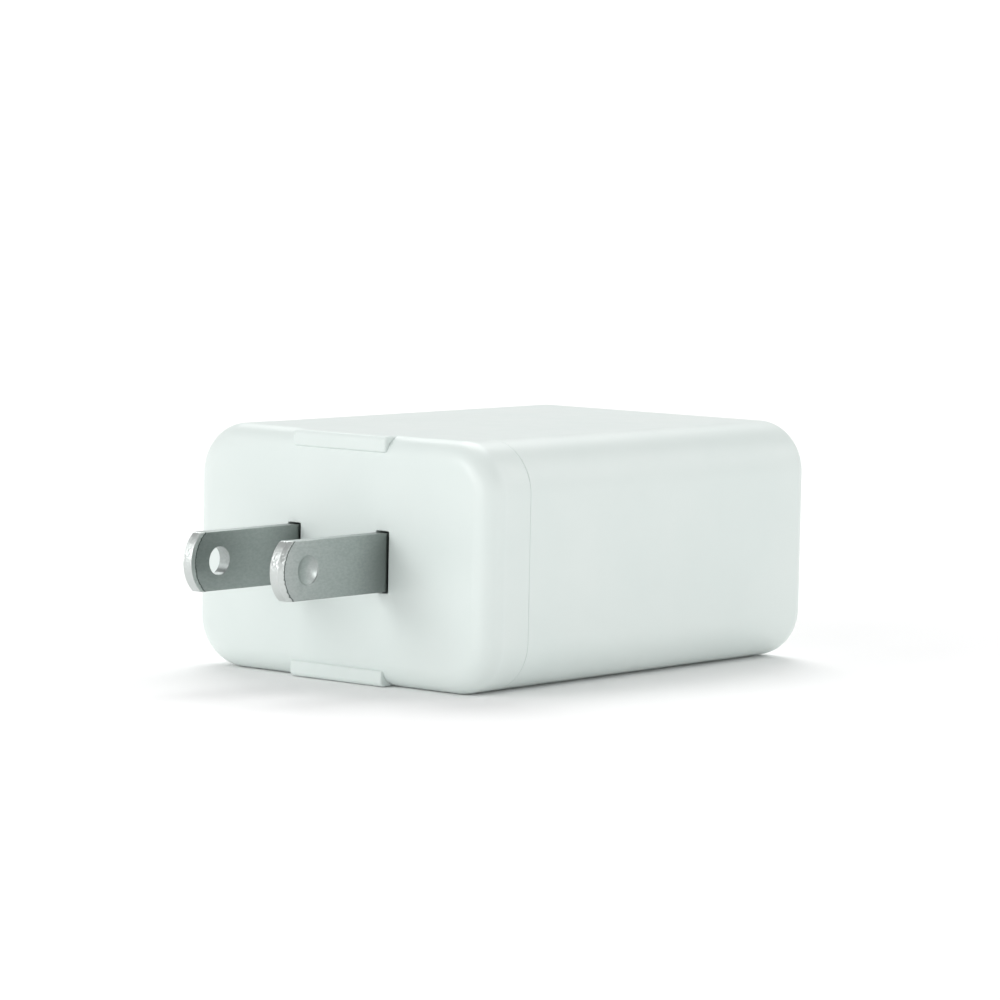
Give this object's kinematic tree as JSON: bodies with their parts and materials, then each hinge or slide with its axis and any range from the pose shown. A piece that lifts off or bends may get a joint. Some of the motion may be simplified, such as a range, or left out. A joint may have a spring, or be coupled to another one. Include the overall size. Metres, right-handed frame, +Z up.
{
  "type": "usb wall charger",
  "caption": "Rounded wall charger in a two-part welded case, with fixed flat mains blades on one end and Type-A sockets on the other.",
  "frame": {"origin": "on the resting plane, under the middle of the whole object with its blades", "axes": "+Z up as the charger lies on its broad side; +Y out of the plug face along the blades; -Y out of the sockets; +X to the right when facing the sockets"},
  "size_m": [0.0426, 0.074, 0.027],
  "materials": {
    "case_plastic": "moulded, pale mint white, soft gloss",
    "blade_nickel": "stamped, nickel plated, satin",
    "retainer_plastic": "moulded",
    "spring_bronze": "stamped phosphor bronze",
    "board_laminate": "glass-epoxy laminate under green solder mask",
    "shell_steel": "drawn, tin plated",
    "tongue_plastic": "moulded",
    "contact_gilt": "gilt",
    "chip_epoxy": "moulded epoxy with tinned legs",
    "fuse_cap": "moulded cap",
    "film_box": "moulded box",
    "disc_epoxy": "dipped epoxy",
    "ring_coating": "powder-coated ring",
    "enamelled_copper": "enamelled copper wire",
    "foot_plastic": "moulded",
    "can_aluminium": "drawn can",
    "sleeve_film": "shrink film",
    "bung_rubber": "moulded",
    "ferrite": "sintered and ground ferrite",
    "bobbin_resin": "moulded phenolic",
    "tape_film": "polyester tape",
    "pin_tin": "tinned wire",
    "spreader_aluminium": "rolled sheet",
    "pad_silicone": "filled silicone",
    "sheet_film": "insulating film"
  },
  "bodies": {
    "root": {"main_housing": "case_plastic", "plug_cover": "case_plastic", "line_blade": "blade_nickel", "neutral_blade": "blade_nickel", "blade_retainer": "retainer_plastic", "line_contact_spring": "spring_bronze", "neutral_contact_spring": "spring_bronze", "main_board": "board_laminate", "usb_board": "board_laminate", "usb_shell_left": "shell_steel", "usb_shell_right": "shell_steel", "usb_tongue_left": "tongue_plastic", "usb_tongue_right": "tongue_plastic", "usb_contacts_left": "contact_gilt", "usb_contacts_right": "contact_gilt", "port_controller": "chip_epoxy", "bridge_rectifier": "chip_epoxy", "primary_controller": "chip_epoxy", "synchronous_rectifier": "chip_epoxy", "optocoupler": "chip_epoxy", "fuse": "fuse_cap", "x_capacitor": "film_box", "y_capacitor": "disc_epoxy", "choke_core": "ring_coating", "choke_winding_front": "enamelled_copper", "choke_winding_rear": "enamelled_copper", "transformer_winding": "enamelled_copper", "choke_base": "foot_plastic", "bulk_capacitor_can_left": "can_aluminium", "bulk_capacitor_can_right": "can_aluminium", "output_capacitor_can_left": "can_aluminium", "output_capacitor_can_right": "can_aluminium", "bulk_capacitor_sleeve_left": "sleeve_film", "bulk_capacitor_sleeve_right": "sleeve_film", "bulk_capacitor_bung_left": "bung_rubber", "bulk_capacitor_bung_right": "bung_rubber", "output_capacitor_bung_left": "bung_rubber", "output_capacitor_bung_right": "bung_rubber", "transformer_core_lower": "ferrite", "transformer_core_upper": "ferrite", "transformer_bobbin": "bobbin_resin", "transformer_tape": "tape_film", "transformer_pins": "pin_tin", "heat_spreader": "spreader_aluminium", "thermal_pad": "pad_silicone", "insulation_sheet": "sheet_film"}
  },
  "joints": []
}
